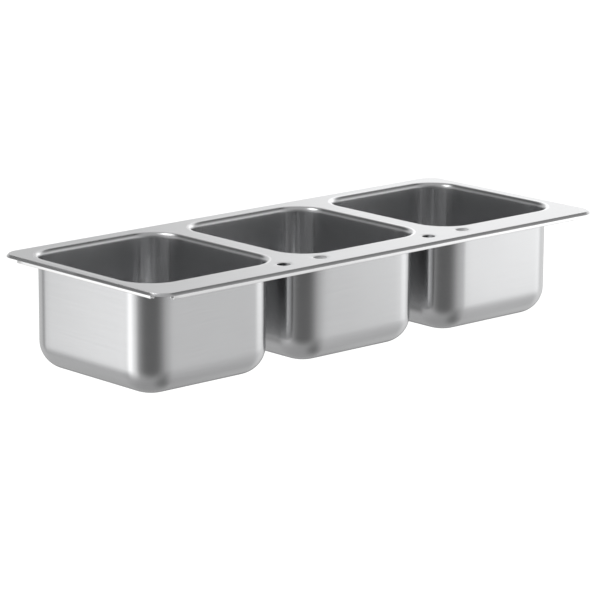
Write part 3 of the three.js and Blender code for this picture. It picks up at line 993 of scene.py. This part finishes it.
def direction(turn, elevation):
    """Unit vector at a turn in degrees from the camera's side, positive to the picture's right."""
    a = CAMERA_AZIMUTH + math.radians(turn)
    e = math.radians(elevation)
    return math.sin(a) * math.cos(e), -math.cos(a) * math.cos(e), math.sin(e)


# Light and dark parts of the studio far away. Each is (turn, elevation, inner radius, outer radius,
# added radiance), with the first four in degrees. The radiances here and of the softboxes began as a
# rounded fit to the photo's tones, and most were then changed.
SURROUND = 0.53
DARKEST = 0.03  # no part of the studio sends less light
BACKDROP = 1.1  # what the camera sees behind the sink: just over white
STUDIO = (
    (-125, -10, 5, 40, 0.15),
    (-98, -12, 5, 30, -0.5),
    (178, -16, 6, 26, -0.45),
    (110, 0, 20, 70, 0.4),
    (180, 15, 15, 50, 0.25),
    (-118, 40, 14, 34, -0.4),
    (110, 42, 14, 34, -0.6),
    (3, -8, 10, 50, -0.38),
    (80, -45, 10, 45, -0.25),
    (0, -90, 12, 50, -0.1),
)

# Softboxes near the sink: (name, middle, what it faces, width, height, radiance).
SOFTBOXES = (
    ("left", (1.80, -0.87, -0.42), (0.60, 0.0, -0.12), 2.4, 1.7, 1.2),
    ("left_near", (1.75, -0.08, -0.50), (0.62, 0.0, -0.12), 1.0, 1.8, 0.6),
    ("above", (0.95, -0.50, 1.30), (0.25, -0.20, 0.0), 1.2, 1.2, 3.5),
    ("right", (-1.75, 1.10, -0.25), (-0.42, 0.18, -0.12), 1.8, 1.5, 0.58),
    ("back", (-2.35, -1.45, 0.60), (-0.50, 0.0, 0.0), 3.1, 1.8, 0.68),
)


def make_softbox(name, middle, faces, width, height, radiance):
    """A soft-edged glow that adds its light to what is behind it and is hidden from the camera."""
    half_x, half_y = width / 2, height / 2
    corners = [(-half_x, -half_y, 0), (half_x, -half_y, 0), (half_x, half_y, 0), (-half_x, half_y, 0)]
    card = new_object(f"softbox_{name}", corners, [(0, 1, 2, 3)])
    card.rotation_mode = "QUATERNION"
    card.rotation_quaternion = (Vector(faces) - Vector(middle)).to_track_quat("Z", "Y")
    card.location = middle
    card.visible_camera = False
    material, n = new_material(f"softbox_{name}")
    place = n.add("ShaderNodeSeparateXYZ", {0: n.add("ShaderNodeTexCoord").outputs["Object"]})
    across = n.maths("DIVIDE", n.maths("ABSOLUTE", place.outputs[0]), half_x)
    upward = n.maths("DIVIDE", n.maths("ABSOLUTE", place.outputs[1]), half_y)
    strength = n.maths("MULTIPLY", n.remap(across, 0.2, 1, radiance, 0, "SMOOTHSTEP"),
                       n.remap(upward, 0.2, 1, 1, 0, "SMOOTHSTEP"))
    glow = n.add("ShaderNodeEmission", {"Color": (1, 1, 1, 1), "Strength": strength})
    clear = n.add("ShaderNodeBsdfTransparent")
    close_material(material, n, n.add("ShaderNodeAddShader", {0: glow.outputs[0], 1: clear.outputs[0]}))
    card.data.materials.append(material)


def make_world():
    world = bpy.data.worlds.new("studio")
    world.use_nodes = True
    bpy.context.scene.world = world
    n = Nodes(world.node_tree)
    toward = n.add("ShaderNodeTexCoord").outputs["Generated"]
    radiance = SURROUND
    for turn, elevation, inner, outer, strength in STUDIO:
        aim = direction(turn, elevation)
        facing = n.add("ShaderNodeVectorMath", {0: toward, 1: aim}, operation="DOT_PRODUCT")
        edge, core = math.cos(math.radians(outer)), math.cos(math.radians(inner))
        lobe = n.remap(facing.outputs["Value"], edge, core, 0, strength, "SMOOTHSTEP")
        radiance = n.maths("ADD", radiance, lobe)
    radiance = n.maths("MAXIMUM", radiance, DARKEST)
    seen = n.add("ShaderNodeLightPath").outputs["Is Camera Ray"]
    strength = n.mix(seen, radiance, BACKDROP)
    background = n.add("ShaderNodeBackground", {"Color": (1, 1, 1, 1), "Strength": strength})
    output = n.add("ShaderNodeOutputWorld")
    n.tree.links.new(background.outputs[0], output.inputs[0])


def make_floor():
    """A round white floor below the sink that glows evenly, so that it takes no shadow."""
    loop = circle(STUDIO_FLOOR_RADIUS, 96)
    verts = [(x, y, cad_low.z - STUDIO_FLOOR_DROP) for x, y in loop]
    floor = new_object("studio_floor", verts, [tuple(range(len(verts)))])
    floor.visible_glossy = False
    floor.visible_diffuse = False
    floor.visible_shadow = False
    material, n = new_material("studio_floor")
    glow = n.add("ShaderNodeEmission", {"Color": (1, 1, 1, 1), "Strength": BACKDROP})
    close_material(material, n, glow)
    floor.data.materials.append(material)


# ---- The scene ----

bpy.context.scene.view_settings.view_transform = "Standard"
make_camera()
make_deck()
for bowl_side in SIDES:
    make_bowl(bowl_side)
for rail_name in ("rail_front", "rail_back", "rail_left", "rail_right"):
    make_rail(rail_name)
make_drains()
make_floor()
make_world()
for softbox in SOFTBOXES:
    make_softbox(*softbox)

bpy.context.view_layer.update()
